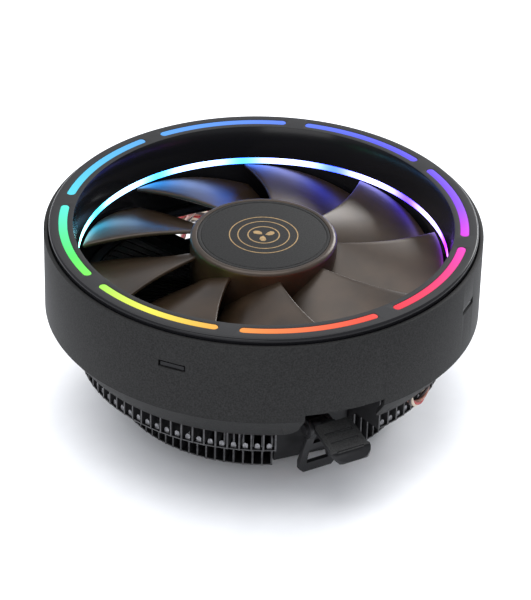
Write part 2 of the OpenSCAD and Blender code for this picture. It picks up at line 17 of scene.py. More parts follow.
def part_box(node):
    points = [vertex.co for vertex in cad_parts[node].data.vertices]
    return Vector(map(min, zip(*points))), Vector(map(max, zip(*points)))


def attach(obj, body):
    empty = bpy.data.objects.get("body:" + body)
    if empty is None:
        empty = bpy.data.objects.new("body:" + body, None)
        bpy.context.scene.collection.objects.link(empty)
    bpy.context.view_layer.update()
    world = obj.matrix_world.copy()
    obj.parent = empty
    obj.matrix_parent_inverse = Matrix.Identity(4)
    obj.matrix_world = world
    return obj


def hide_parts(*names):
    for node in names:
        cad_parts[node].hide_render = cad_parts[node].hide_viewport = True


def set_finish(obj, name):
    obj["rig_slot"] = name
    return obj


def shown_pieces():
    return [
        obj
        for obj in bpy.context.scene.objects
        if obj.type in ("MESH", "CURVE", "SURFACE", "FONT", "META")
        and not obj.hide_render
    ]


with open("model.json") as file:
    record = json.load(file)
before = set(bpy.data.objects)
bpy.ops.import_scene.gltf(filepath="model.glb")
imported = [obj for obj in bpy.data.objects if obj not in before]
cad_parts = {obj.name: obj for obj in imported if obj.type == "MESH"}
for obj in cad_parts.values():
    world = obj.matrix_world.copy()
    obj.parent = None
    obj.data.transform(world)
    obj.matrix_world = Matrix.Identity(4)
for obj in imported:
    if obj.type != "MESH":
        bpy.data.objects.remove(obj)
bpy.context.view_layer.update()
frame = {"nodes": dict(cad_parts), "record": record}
MM = 0.001

# %% [markdown]
# ## The camera
#
# A product shot like this one is taken from far off with a long lens, so that circles stay close
# to true ellipses. The camera stands a little to the left of the lever and looks down at about 31
# degrees. It could be aimed with a Track To constraint, but a plain rotation is easier to read
# and leaves nothing live on the camera. A small roll about its own axis copies the slight tilt of
# a hand-held shot.

# %% Camera
def aim_camera(place, target, roll):
    camera = bpy.data.objects.new("camera", bpy.data.cameras.new("camera"))
    bpy.context.scene.collection.objects.link(camera)
    camera.data.lens = 180
    camera.data.sensor_width = 36
    camera.data.clip_start, camera.data.clip_end = 0.05, 20
    looking = (Vector(target) - Vector(place)).to_track_quat("-Z", "Y").to_matrix().to_4x4()
    camera.matrix_world = Matrix.Translation(place) @ looking @ Matrix.Rotation(roll, 4, "Z")
    bpy.context.scene.camera = camera
    return camera


camera = aim_camera((-0.2777, -0.6738, 0.5019), (0.0011, 0, 0.0329), math.radians(1.507))
print("camera is", round(camera.location.length, 3), "m from the contact face")

# %% [markdown]
# ## Working as by hand
#
# Edit-mode operators act on everything that is selected, and a freshly loaded frame is selected
# all over. So each piece starts by clearing the selection. The helpers below draw an outline by
# extruding one vertex from point to point, which is how a turned part is drawn by hand before it
# is spun round its axis.

# %% Helpers for outlines
def deselect():
    if bpy.context.mode != "OBJECT":
        bpy.ops.object.mode_set(mode="OBJECT")
    bpy.ops.object.select_all(action="DESELECT")


def activate(piece):
    deselect()
    piece.select_set(True)
    bpy.context.view_layer.objects.active = piece


def draw_outline(name, points):
    """A closed outline: one vertex, extruded from point to point, then joined up. Points are in mm."""
    deselect()
    bpy.ops.mesh.primitive_plane_add(size=MM, location=Vector(points[0]) * MM)
    piece = bpy.context.object
    piece.name = name
    bpy.ops.object.transform_apply(location=True, rotation=True, scale=True)
    bpy.ops.object.mode_set(mode="EDIT")
    bpy.ops.mesh.merge(type="CENTER")
    for here, there in zip(points, list(points[1:]) + [points[0]]):
        step = (Vector(there) - Vector(here)) * MM
        bpy.ops.mesh.extrude_region_move(TRANSFORM_OT_translate={"value": step})
    bpy.ops.mesh.select_all(action="SELECT")
    bpy.ops.mesh.remove_doubles(threshold=0.001 * MM)
    return piece


def spin_outline(name, points, steps=192, angle=math.tau, start=0.0):
    """Turns an outline in r and z about the Z axis. Spin turns clockwise, so its axis points down."""
    turned = [(r * math.cos(start), r * math.sin(start), z) for r, z in points]
    piece = draw_outline(name, turned)
    if angle < math.tau:
        bpy.ops.mesh.edge_face_add()
    bpy.ops.mesh.spin(steps=steps, angle=angle, center=(0, 0, 0), axis=(0, 0, -1))
    bpy.ops.mesh.select_all(action="SELECT")
    bpy.ops.mesh.remove_doubles(threshold=0.001 * MM)
    bpy.ops.mesh.normals_make_consistent(inside=False)
    bpy.ops.object.mode_set(mode="OBJECT")
    return piece


# %% Helpers for finishing a piece
def box_of(node):
    """A CAD node's lowest and highest corners, in mm."""
    low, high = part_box(node)
    return Vector(low) / MM, Vector(high) / MM


def modify(piece, kind, **settings):
    """Adds one modifier, sets it and applies it."""
    activate(piece)
    modifier = piece.modifiers.new(kind.lower(), kind)
    for key, value in settings.items():
        setattr(modifier, key, value)
    bpy.ops.object.modifier_apply(modifier=modifier.name)


def round_edges(piece, width=0.2, segments=2, above=30):
    modify(piece, "BEVEL", width=width * MM, segments=segments, limit_method="ANGLE",
           angle_limit=math.radians(above), use_clamp_overlap=True)
    activate(piece)
    bpy.ops.object.shade_smooth_by_angle(angle=math.radians(40))


def cut(piece, cutter, operation="DIFFERENCE"):
    modify(piece, "BOOLEAN", object=cutter, operation=operation)
    bpy.data.objects.remove(cutter)


def join(name, pieces):
    deselect()
    for piece in pieces:
        piece.select_set(True)
    bpy.context.view_layer.objects.active = pieces[0]
    if len(pieces) > 1:
        bpy.ops.object.join()
    pieces[0].name = name
    return pieces[0]


def tag_faces(piece, material_index, chosen):
    """Gives the chosen faces another of the piece's materials."""
    for face in piece.data.polygons:
        if chosen(face):
            face.material_index = material_index


def place_piece(piece, body, slot, *nodes):
    """Puts a finished piece on its CAD body, in its finish's slot, in place of its CAD nodes."""
    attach(piece, body)
    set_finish(piece, slot)
    if nodes:
        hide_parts(*nodes)
    print(piece.name, "has", len(piece.data.polygons), "faces")
    return piece


# %% [markdown]
# ## The fan lead
#
# The motor's lead is four thin insulated wires twisted together, about 2 mm over all. It leaves a
# rubber grommet under the shroud, hangs in one short loop below the lip, runs round inside the
# shroud, drops out of the notch at the back and lies on the table in one and a half turns, with
# its plug beside them. A bevelled curve would give one smooth tube. Four curves that wind round
# one centreline give the real twisted look, and a join makes them one piece.

# %% Centreline of the lead
LEAD_D = 2.0
lead_route = [
    (27.4, -50.4, 35), (27.4, -50.4, 33), (26.9, -49.6, 30.5), (26.2, -48.3, 28), (25.9, -47.6, 25.5),
    (26, -47.5, 24), (26.5, -47.2, 22.1), (28, -46.3, 20.4), (30.1, -45, 19.7), (32.1, -43.5, 20.4),
    (33.5, -42.5, 22.1), (34.1, -42.1, 24.6), (34.7, -42.2, 27), (36.1, -42.1, 29.3), (38.2, -40.7, 30.7),
    (40.9, -38.1, 31), (45.8, -32.1, 31), (50.7, -23.6, 31), (54, -14.5, 31), (55.7, -4.9, 31),
    (55.7, 4.9, 31), (54, 14.5, 31), (50.7, 23.6, 31), (45.8, 32.1, 31), (39.5, 39.5, 31),
    (32.1, 45.8, 31), (25.4, 49.8, 31), (19.1, 52.5, 31), (14.5, 54, 30.7), (10.5, 56, 30.2),
    (7.5, 59, 29.4), (6, 62.5, 28), (5, 66.5, 25.2), (4.5, 70, 21.5), (4.2, 72.8, 17),
    (4, 75, 12), (4, 77, 7.4), (4, 79.4, 3.6), (4, 82, 1.6), (4, 84.5, 1),
]
tail_route = [(26, 84, 3), (26, 80, 3), (26, 75.5, 2.9)]


def coil_route(centre=(15, 88), radius=11, turns=1.5, steps=16):
    """Turns on the table: the first climbs onto itself in its last quarter."""
    count = round(turns * steps)
    points = []
    for i in range(count + 1):
        angle = math.pi - math.tau * i / steps
        climb = min(max((i / steps - 0.7) / 0.3, 0), 1)
        z = LEAD_D / 2 + LEAD_D * climb * climb * (3 - 2 * climb)
        points.append((centre[0] + radius * math.cos(angle), centre[1] + radius * math.sin(angle), z))
    return points


def smooth_line(points, step):
    """Points a step apart along a Catmull-Rom curve through the given ones."""
    points = [Vector(p) for p in points]
    ends = [2 * points[0] - points[1]] + points + [2 * points[-1] - points[-2]]
    dense = []
    for a, b, c, d in zip(ends, ends[1:], ends[2:], ends[3:]):
        for t in (i / 12 for i in range(12)):
            dense.append(0.5 * ((2 * b) + (c - a) * t + (2 * a - 5 * b + 4 * c - d) * t ** 2
                                + (3 * b - a - 3 * c + d) * t ** 3))
    dense.append(points[-1])
    kept = [dense[0]]
    for point in dense[1:]:
        if (point - kept[-1]).length >= step:
            kept.append(point)
    return kept


lead_line = smooth_line(lead_route + coil_route() + tail_route, 1.1)

# %% [markdown]
# A wire winds round the centreline at half a wire's width from it. A frame carried along the line
# without twisting, the parallel transport frame, keeps the winding even through every bend.

# %% Four twisted wires
WIRES = ("wire_red", "wire_white", "wire_black", "wire_yellow")


def carried_sides(line):
    """Two directions square to the line at each point, turned as little as possible on the way."""
    sides, side = [], Vector((1, 0.3, 0))
    for i, point in enumerate(line):
        along = (line[min(i + 1, len(line) - 1)] - line[max(i - 1, 0)]).normalized()
        side = (side - along * side.dot(along)).normalized()
        sides.append((side.copy(), along.cross(side)))
    return sides


def twisted_wires(line, offset=0.52, radius=0.47, lay=15):
    wires = []
    sides = carried_sides(line)
    for number, name in enumerate(WIRES):
        curve = bpy.data.curves.new(name, "CURVE")
        curve.dimensions = "3D"
        curve.bevel_depth = radius * MM
        curve.bevel_resolution = 1
        curve.use_fill_caps = True
        spline = curve.splines.new("POLY")
        spline.points.add(len(line) - 1)
        run = 0
        for i, (point, (u, v)) in enumerate(zip(line, sides)):
            run += (point - line[max(i - 1, 0)]).length
            angle = math.tau * (run / lay + number / len(WIRES))
            centre = point + offset * (u * math.cos(angle) + v * math.sin(angle))
            spline.points[i].co = (*(centre * MM), 1)
        wire = bpy.data.objects.new(name, curve)
        bpy.context.scene.collection.objects.link(wire)
        wires.append(wire)
    deselect()
    for wire in wires:
        wire.select_set(True)
    bpy.context.view_layer.objects.active = wires[0]
    bpy.ops.object.convert(target="MESH")
    return wires


wires = twisted_wires(lead_line)
fan_lead = join("fan_lead_wires", wires)
faces_each = len(fan_lead.data.polygons) // len(WIRES)
for i in range(len(WIRES)):
    tag_faces(fan_lead, i, lambda face: face.index // faces_each == i)
place_piece(fan_lead, "frame", "lead_red", "fan_lead", "lead_coil", "lead_tail")

# %% [markdown]
# ## The shroud
#
# The shroud is one moulded drum: an upright wall, a chamfered band that turns in to the lip, and a
# ledge inside that carries the fan frame. Its wall is drawn as an outline and spun. The notch over
# the thumb lever, its twin at the back and the four latch windows are cut with Boolean modifiers,
# because they cross the round wall and would be tedious to knit in by hand.

# %% Cutters
def in_xz(outline, y):
    return [(x, y, z) for x, z in outline]


def in_yz(outline, x):
    return [(x, y, z) for y, z in outline]


def prism(name, outline, depth):
    """A flat outline of points, filled and extruded by depth, all in mm."""
    piece = draw_outline(name, outline)
    bpy.ops.mesh.edge_face_add()
    bpy.ops.mesh.extrude_region_move(TRANSFORM_OT_translate={"value": Vector(depth) * MM})
    bpy.ops.mesh.select_all(action="SELECT")
    bpy.ops.mesh.normals_make_consistent(inside=False)
    bpy.ops.object.mode_set(mode="OBJECT")
    return piece


def block(name, centre, size, turn=0.0):
    """A box turned about the Z axis through the origin, with its place in its mesh."""
    deselect()
    bpy.ops.mesh.primitive_cube_add(size=1, location=Vector(centre) * MM)
    piece = bpy.context.object
    piece.name = name
    piece.scale = Vector(size) * MM
    bpy.ops.object.transform_apply(location=True, rotation=True, scale=True)
    piece.rotation_euler.z = turn
    bpy.ops.object.transform_apply(rotation=True)
    return piece


def quarter(centre, radius, start, end, steps=6):
    """Points along an arc, in degrees."""
    angles = [math.radians(start + (end - start) * i / steps) for i in range(steps + 1)]
    return [(centre[0] + radius * math.cos(a), centre[1] + radius * math.sin(a)) for a in angles]


# %% Shroud
shroud_low, shroud_high = box_of("shroud")
SHROUD_R, SHROUD_TOP, LIP_Z = shroud_high.x, shroud_high.z, shroud_low.z
TOP = box_of("bezel_ring")[1].z
KNEE_Z = LIP_Z + 8.5
LIP_R = SHROUD_R - 6.5
LEDGE_Z = 35
NOTCH_HALF = 11.75
WINDOW_Z = TOP - 11.7


def make_shroud():
    skin = SHROUD_R - 1.2
    shell = spin_outline("shroud_shell", [
        (LIP_R, LIP_Z), (SHROUD_R, KNEE_Z), (SHROUD_R, SHROUD_TOP), (skin + 0.1, SHROUD_TOP),
        (skin, LEDGE_Z + 1.2), (56, LEDGE_Z + 1.2), (56, LEDGE_Z), (skin, LEDGE_Z), (skin, KNEE_Z + 0.4),
        (LIP_R - 0.9, LIP_Z)])
    lip = 3
    side = quarter((NOTCH_HALF + lip, LIP_Z + lip), lip, 180, 270)
    notch = [(NOTCH_HALF, LEDGE_Z + 0.5)] + side + [(NOTCH_HALF + lip, LIP_Z - 2)]
    notch = notch + [(-x, z) for x, z in reversed(notch)]
    for y in (-70, 50):
        cut(shell, prism("notch", in_xz(notch, y), (0, 20, 0)))
    for number in range(4):
        turn = math.radians(45 + 90 * number)
        cut(shell, block("window", (SHROUD_R, 0, WINDOW_Z), (6, 8, 2.1), turn))
    round_edges(shell, 0.25, 2, 25)
    return shell


place_piece(make_shroud(), "frame", "shroud_plastic", "shroud")

# %% [markdown]
# ## The bezel and its lights
#
# A flat ring with a rounded, polished rim caps the fan. Eight curved slots with round ends run
# round it and are filled flush by a frosted light guide. Each slot is a rectangle spun through
# part of a turn, with its four upright end edges bevelled until the ends are half circles. The
# same bar, a little smaller, is the lit part in the slot.

# %% Bezel and light bars
SLOT_IN, SLOT_OUT = 55.8, 58.3
SLOT_GAP, SLOT_TURN = 5.8, 13.8
BEZEL_UNDER = TOP - 1.8
DUCT_R = 52.8
SKIRT_Z = TOP - 10
RING_Z = TOP - 12


def slot_bar(number, less, low, high):
    """One curved bar with round ends, drawn in by less on every side."""
    middle = (SLOT_IN + SLOT_OUT) / 2
    trim = math.degrees(less / middle)
    start = math.radians(SLOT_TURN + 45 * number + SLOT_GAP / 2 + trim)
    angle = math.radians(45 - SLOT_GAP - 2 * trim)
    inner, outer = SLOT_IN + less, SLOT_OUT - less
    bar = spin_outline(f"slot_bar_{number}", [(inner, low), (outer, low), (outer, high), (inner, high)],
                       20, angle, start)
    mesh = bmesh.new()
    mesh.from_mesh(bar.data)
    ends = [e for e in mesh.edges if abs(e.verts[0].co.z - e.verts[1].co.z) > 0.5 * (high - low) * MM
            and any(abs((math.atan2(v.co.y, v.co.x) - turn + math.pi) % math.tau - math.pi) < 0.001
                    for v in e.verts for turn in (start, start + angle))]
    bmesh.ops.bevel(mesh, geom=ends, offset=(outer - inner) * 0.48 * MM, segments=6, profile=0.5,
                    affect="EDGES")
    mesh.to_mesh(bar.data)
    mesh.free()
    return bar


def make_bezel():
    rim = quarter((60.3, TOP - 0.8), 0.8, 90, 0)
    bezel = spin_outline("bezel_top", [(DUCT_R + 1.4, TOP)] + rim + [
        (61.1, BEZEL_UNDER - 0.8), (60.95, BEZEL_UNDER - 0.8), (60.95, BEZEL_UNDER), (55, BEZEL_UNDER),
        (DUCT_R + 1.5, SKIRT_Z), (DUCT_R, SKIRT_Z)])
    cut(bezel, join("slots", [slot_bar(i, 0, BEZEL_UNDER - 1, TOP + 1) for i in range(8)]))
    round_edges(bezel, 0.12, 2, 35)
    return bezel


def make_light_bars():
    bars = join("light_bars", [slot_bar(i, 0.08, BEZEL_UNDER - 1.5, TOP - 0.02) for i in range(8)])
    round_edges(bars, 0.15, 2, 40)
    return bars


def make_inner_ring():
    ring = spin_outline("inner_glow_ring", [
        (DUCT_R, RING_Z), (59.8, RING_Z), (59.8, RING_Z + 1.2), (DUCT_R + 1.6, RING_Z + 1.2),
        (DUCT_R + 1.6, SKIRT_Z), (DUCT_R, SKIRT_Z)])
    round_edges(ring, 0.2, 2, 40)
    return ring


place_piece(make_bezel(), "frame", "bezel_plastic", "bezel_ring")
place_piece(make_light_bars(), "frame", "ring_light", "light_guide")
place_piece(make_inner_ring(), "frame", "inner_light", "inner_light_ring")

# %% [markdown]
# ## The fan
#
# The rotor's hub is a cup that hides the motor, with a rounded shoulder and a flat disc let into
# its top. The blades are wide, swept and twisted: flatter and broader towards the tip. A blade
# starts as a grid, and each of its points is moved by the rule that gives the CAD blade its shape,
# so that both sweep the same space. Solidify gives it thickness, and a spin with duplicates sets
# the whole ring of blades round the hub.

# %% Hub, disc and blades
HUB_R = 20
HUB_TOP = box_of("hub_label")[1].z + 0.05
HUB_LOW = TOP - 19
TIP_R = DUCT_R - 1
BLADES = 9


def make_hub():
    hub = spin_outline("fan_hub", [
        (0, HUB_TOP - 0.7), (0, HUB_TOP - 1.3), (1.5, HUB_TOP - 1.3), (1.5, HUB_TOP - 4.8),
        (3.2, HUB_TOP - 4.8), (3.2, HUB_TOP - 1.6), (HUB_R - 0.4, HUB_TOP - 1.6), (HUB_R - 0.4, HUB_LOW),
        (HUB_R + 1, HUB_LOW)] + quarter((HUB_R - 0.2, HUB_TOP - 1.2), 1.2, 0, 90) + [
        (HUB_R - 0.95, HUB_TOP), (HUB_R - 0.95, HUB_TOP - 0.7)], steps=128)
    round_edges(hub, 0.12, 2, 40)
    return hub


def make_disc():
    edge = HUB_R - 1.1
    disc = spin_outline("hub_disc", [
        (0, HUB_TOP - 0.65), (edge, HUB_TOP - 0.65), (edge, HUB_TOP), (edge - 0.7, HUB_TOP),
        (edge - 0.85, HUB_TOP - 0.2), (edge - 1.05, HUB_TOP - 0.2), (edge - 1.2, HUB_TOP), (0, HUB_TOP)],
        steps=128)
    round_edges(disc, 0.1, 2, 30)
    return disc


def blade_point(t, s):
    """A point on the blade's middle surface: t from hub to tip, s from leading to trailing edge."""
    r = HUB_R + 0.4 + t * (TIP_R - HUB_R - 0.4)
    along = (2 * s - 1) * (7.7 + 11 * t)
    turn = math.radians(14 * t) - along / r
    arch = math.sin(math.pi * s)
    z = HUB_LOW + 6 - 2.5 * t + (0.5 - s) * (10.2 - 3.2 * t) + 1.4 * arch
    return Vector((r * math.cos(turn), r * math.sin(turn), z)) * MM


def make_blades():
    deselect()
    bpy.ops.mesh.primitive_grid_add(x_subdivisions=12, y_subdivisions=16, size=1)
    blades = bpy.context.object
    blades.name = "fan_blades"
    for vertex in blades.data.vertices:
        vertex.co = blade_point(vertex.co.x + 0.5, vertex.co.y + 0.5)
    modify(blades, "SOLIDIFY", thickness=1.1 * MM, offset=0)
    round_edges(blades, 0.35, 3, 50)
    bpy.ops.object.mode_set(mode="EDIT")
    bpy.ops.mesh.select_all(action="SELECT")
    bpy.ops.mesh.spin(steps=BLADES - 1, dupli=True, angle=math.tau * (BLADES - 1) / BLADES,
                      center=(0, 0, 0), axis=(0, 0, 1))
    bpy.ops.object.mode_set(mode="OBJECT")
    return blades


place_piece(make_hub(), "rotor", "smoked_plastic", "impeller")
place_piece(make_blades(), "rotor", "smoked_plastic", "impeller")
place_piece(make_disc(), "rotor", "label_plastic", "hub_label")

# %% [markdown]
# The disc carries a small gold emblem. It is a plain fan sign: three petals inside two thin rings.
# One petal is drawn flat, filled, raised by a hair and copied round with a spin.

# %% Gold emblem
def make_emblem():
    low, high = HUB_TOP - 0.1, HUB_TOP + 0.04
    petal = [(0.5, 0), (1.3, -0.75), (2.4, -0.85), (3.3, -0.2), (3.35, 0.7), (2.6, 1.15), (1.5, 0.8)]
    petals = prism("petals", [(x, y, low) for x, y in petal], (0, 0, high - low))
    activate(petals)
    bpy.ops.object.mode_set(mode="EDIT")
    bpy.ops.mesh.select_all(action="SELECT")
    bpy.ops.mesh.spin(steps=2, dupli=True, angle=math.radians(240), center=(0, 0, 0), axis=(0, 0, 1))
    bpy.ops.object.mode_set(mode="OBJECT")
    rings = [spin_outline("ring", [(r, low), (r + w, low), (r + w, high), (r, high)], steps=96)
             for r, w in ((4.3, 0.35), (7.2, 0.3), (9.6, 0.3))]
    return join("hub_emblem", [petals] + rings)


place_piece(make_emblem(), "rotor", "label_plastic")

# %% [markdown]
# ## The fins
#
# Eighty-two thin fins stand round the core, forty-one a side. Each is stamped from sheet with its edges
# folded over into short flanges, and the flanges space the fins apart. A fin is narrow below and
# wide above. At the step its flange carries a small arch in a light metallic grey, and below
# the folds run inwards and close the floor. One fin is drawn, filled and extruded, its flanges are
# added, and a spin with duplicates makes the row.

# %% Fin rows
FINS = 41
FIRST_FIN = 17.2
FIN_PITCH = (180 - 2 * FIRST_FIN) / (FINS - 1)
TIER_Z, FIN_TOP = 17.3, 34
UPPER_R, LOWER_R = 52.9, 42.4


def flange(r_in, r_out, low, high):
    """A folded edge that reaches from one fin to the next."""
    width = (r_in + r_out) / 2 * math.radians(FIN_PITCH)
    return block("flange", ((r_in + r_out) / 2, width / 2, (low + high) / 2),
                 (r_out - r_in, width, high - low))


def copied_round(piece, count):
    """Copies of everything in a piece, one fin's pitch apart."""
    activate(piece)
    bpy.ops.object.mode_set(mode="EDIT")
    bpy.ops.mesh.select_all(action="SELECT")
    bpy.ops.mesh.spin(steps=count - 1, dupli=True, angle=math.radians(FIN_PITCH) * (count - 1),
                      center=(0, 0, 0), axis=(0, 0, -1))
    bpy.ops.object.mode_set(mode="OBJECT")
    return piece


def make_fins(name, first_turn):
    inner = 18.5
    outline = [(inner, 7.5), (25, 5), (LOWER_R, 5), (LOWER_R, TIER_Z - 0.6), (LOWER_R + 1.2, TIER_Z),
               (UPPER_R, TIER_Z), (UPPER_R, FIN_TOP - 0.1), (inner, FIN_TOP - 0.1)]
    sheet = prism("fin", in_xz(outline, -0.25), (0, 0.5, 0))
    half_gap = (UPPER_R - 1) * math.radians(FIN_PITCH) / 2
    foot = TIER_Z + 0.4
    crown = quarter((half_gap, foot + 1.05), 0.7, 180, 0)
    arch = prism("arch", in_yz([(half_gap - 0.7, foot)] + crown + [(half_gap + 0.7, foot)], UPPER_R - 1),
                 (0.25, 0, 0))
    floor_folds = [flange(LOWER_R - 0.1 - r, LOWER_R + 3.9 - r, 5.05, 5.4) for r in (4, 8, 12, 16)]
    links = join("links", floor_folds + [
        arch, flange(UPPER_R - 1.6, UPPER_R - 0.1, TIER_Z + 0.05, TIER_Z + 0.4),
        flange(UPPER_R - 1.6, UPPER_R - 0.1, FIN_TOP - 0.5, FIN_TOP - 0.15), flange(18.1, 18.9, 8, 33.6)])
    row = join(name, [copied_round(sheet, FINS), copied_round(links, FINS - 1)])
    # Faces turned outwards take the lighter grey, and the arches the light metallic grey.
    tag_faces(row, 1, lambda face: face.normal.xy @ face.center.xy.normalized() > 0.5)
    tag_faces(row, 2, lambda face: abs(face.center.xy.length / MM - UPPER_R + 0.9) < 0.2
              and 0.05 < face.center.z / MM - foot < 2)
    row.rotation_euler.z = math.radians(first_turn - 90)
    deselect()
    row.select_set(True)
    bpy.ops.object.transform_apply(rotation=True)
    return row


place_piece(make_fins("fins_right", FIRST_FIN), "frame", "fins", "fin_stack_right")
place_piece(make_fins("fins_left", 180 + FIRST_FIN), "frame", "fins", "fin_stack_left")

# %% [markdown]
# ## The lever and the clip
#
# The hook is punched from black steel sheet, so its edges are only slightly broken. The thumb tab
# on its arm is moulded over: flat on top with three grip grooves, broad and round at its tip. The
# tab is what its plan, its side view and its section have in common, which a Boolean set to
# Intersect gives in two steps.

# %% Hook
PIVOT_Y, PIVOT_Z = -44.5, 18.5
LEVER_X, LEVER_TURN = -0.6, 7
HOOK_Z = 4.3
HOOK_HALF = 5.8
ARM_HALF = 2.1
TAB_Z, TAB_ROOT_Y = 24.5, PIVOT_Y - 7.4
TAB_TILT = 11.7


def rod(name, centre, radius, length, sides=32):
    """A round bar along X."""
    deselect()
    bpy.ops.mesh.primitive_cylinder_add(vertices=sides, radius=radius * MM, depth=length * MM)
    piece = bpy.context.object
    piece.name = name
    piece.rotation_euler.y = math.pi / 2
    piece.location = Vector(centre) * MM
    bpy.ops.object.transform_apply(location=True, rotation=True, scale=True)
    return piece


def set_in_fork(piece):
    """The lever stands a little askew in its slack fork: turned about its pivot and moved along its pin."""
    pivot = Matrix.Translation(Vector((LEVER_X, PIVOT_Y, 0)) * MM)
    piece.data.transform(pivot @ Matrix.Rotation(math.radians(LEVER_TURN), 4, "Z")
                         @ Matrix.Translation(Vector((0, -PIVOT_Y, 0)) * MM))


ROOT, TIP = TAB_ROOT_Y + 1.4, TAB_ROOT_Y - 11.1
ARM = [(PIVOT_Y, PIVOT_Z - 2), (PIVOT_Y - 2.1, PIVOT_Z - 0.5), (ROOT, TAB_Z - 2.35), (TIP, TAB_Z - 4.94),
       (TIP, TAB_Z - 3.54), (ROOT + 0.5, TAB_Z - 0.95), (PIVOT_Y - 1.5, PIVOT_Z + 2.6),
       (PIVOT_Y + 0.5, PIVOT_Z + 2)]


def mirrored(half):
    """The other half of a symmetric outline, put after the first."""
    return half + [(-x, z) for x, z in reversed(half)]


def make_hook():
    h, low, shoulder = HOOK_HALF, HOOK_Z, PIVOT_Z - 3.2
    sheet = mirrored([(h - 1.3, low), (h, low + 1.3), (h, low + 3.6), (3.4, shoulder), (2.3, shoulder + 0.3),
                      (2.3, PIVOT_Z - 1.6)])
    lug_window = mirrored([(h - 2.3, low + 2.8), (h - 3.1, low + 6.95)])
    small_window = mirrored([(1.7, low + 8.9), (0.7, low + 11.2)])
    hook = prism("hook", in_xz(sheet, PIVOT_Y - 0.75), (0, 1.5, 0))
    for window in (lug_window, small_window):
        cut(hook, prism("window", in_xz(window, PIVOT_Y - 3), (0, 6, 0)))
    cut(hook, rod("knuckle", (0, PIVOT_Y, PIVOT_Z), 2.3, 2 * ARM_HALF), "UNION")
    cut(hook, prism("arm", in_yz(ARM, -ARM_HALF), (2 * ARM_HALF, 0, 0)), "UNION")
    cut(hook, rod("pin_bore", (0, PIVOT_Y, PIVOT_Z), 1.06, 10))
    round_edges(hook, 0.18, 2, 30)
    set_in_fork(hook)
    return hook


place_piece(make_hook(), "lever", "black_steel", "hook_plate")

# %% Thumb tab
def make_tab():
    """Modelled level at the origin, its root towards +Y, then tilted and set on the arm."""
    tip, deep = -14.6, -3.1
    plan = mirrored([(5.1, 0), (5.75, -1.2), (5.75, tip + 4.6), (6.2, tip + 3.8), (6, tip + 2.6),
                     (5.3, tip + 1.4), (3.9, tip + 0.4), (2.2, tip)])
    side = [(0, 0), (tip + 3.3, 0), (tip + 1.8, -0.25), (tip + 0.6, -0.8), (tip, -1.3), (tip + 0.3, -1.8),
            (tip + 2.6, -2.95), (tip + 3.4, deep), (-1, deep), (0, -2.6)]
    section = mirrored([(7, 1), (7, -0.4), (6.3, -0.75), (3.2, deep - 0.1)])
    tab = prism("thumb_grip", [(x, y, -10) for x, y in plan], (0, 0, 12))
    cut(tab, prism("side", in_yz(side, -15), (30, 0, 0)), "INTERSECT")
    cut(tab, prism("section", in_xz(section, 5), (0, -25, 0)), "INTERSECT")
    for y in (4.1, 7.7, 11.3):
        cut(tab, rod("groove", (0, -y, 0), 0.42, 8.6, 16))
    tab.data.transform(Matrix.Translation(Vector((0, TAB_ROOT_Y, TAB_Z)) * MM)
                       @ Matrix.Rotation(math.radians(TAB_TILT), 4, "X"))
    cut(tab, prism("arm", in_yz(ARM, -ARM_HALF), (2 * ARM_HALF, 0, 0)))
    round_edges(tab, 0.4, 3, 20)
    set_in_fork(tab)
    return tab


place_piece(make_tab(), "lever", "tab_plastic", "thumb_tab")

# %% [markdown]
# The clip bar, its saddle, the copper plate and the plug already have the right shape in the CAD.
# Only their edges are too sharp to catch the light. Each is copied, its loose triangles are merged
# and dissolved back into whole faces, and its edges are bevelled.

# %% Softened copies of CAD nodes
def softened(node, width, name):
    source = frame["nodes"][node]
    piece = bpy.data.objects.new(name, source.data.copy())
    bpy.context.scene.collection.objects.link(piece)
    piece.data.materials.clear()
    activate(piece)
    bpy.ops.object.mode_set(mode="EDIT")
    bpy.ops.mesh.select_all(action="SELECT")
    bpy.ops.mesh.remove_doubles(threshold=0.002 * MM)
    bpy.ops.mesh.dissolve_limited(angle_limit=math.radians(1))
    bpy.ops.mesh.select_all(action="SELECT")
    bpy.ops.mesh.customdata_custom_splitnormals_clear()
    bpy.ops.object.mode_set(mode="OBJECT")
    round_edges(piece, width, 2, 35)
    return piece


for node, width, slot, name in (
        ("clip_bar", 0.15, "black_steel", "spring_bar"), ("clip_saddle", 0.15, "black_steel", "saddle_strip"),
        ("contact_plate", 0.2, "copper", "copper_plate"), ("fan_plug", 0.2, "plug_plastic", "plug_housing"),
        ("bracket_ring", 0.12, "black_steel", "mounting_ring"),
        ("lead_grommet", 0.25, "black_rubber", "grommet")):
    place_piece(softened(node, width, name), "frame", slot, node)

# %% [markdown]
# ## Finishes
#
# Every finish is built from nodes that read Object coordinates, in metres, so its grain has its
# real size. Most of them need only three things: a colour that drifts a little, a roughness and a
# fine bump. A table of numbers is enough for those, and the few patterned ones follow it.

# %% Material helpers
def new_finish(name, colour, roughness, metallic=0.0, **sockets):
    """A Principled material. Other sockets are given by name, with _ for a space."""
    material = bpy.data.materials.new(name)
    material.use_nodes = True
    shader = material.node_tree.nodes["Principled BSDF"]
    values = {"Base Color": (*colour, 1), "Roughness": roughness, "Metallic": metallic}
    values.update({key.replace("_", " "): value for key, value in sockets.items()})
    for socket, value in values.items():
        shader.inputs[socket].default_value = value
    return material


def shader_of(material):
    return material.node_tree.nodes["Principled BSDF"]


def add(material, kind, inputs=None, **settings):
    """Adds a node. An input is a number, a vector or another node's output."""
    node = material.node_tree.nodes.new("ShaderNode" + kind)
    for key, value in settings.items():
        setattr(node, key, value)
    for socket, value in (inputs or {}).items():
        if isinstance(value, bpy.types.NodeSocket):
            material.node_tree.links.new(value, node.inputs[socket])
        else:
            node.inputs[socket].default_value = value
    return node


def feed(material, output, socket):
    material.node_tree.links.new(output, shader_of(material).inputs[socket])


def where(material):
    return add(material, "TexCoord").outputs["Object"]


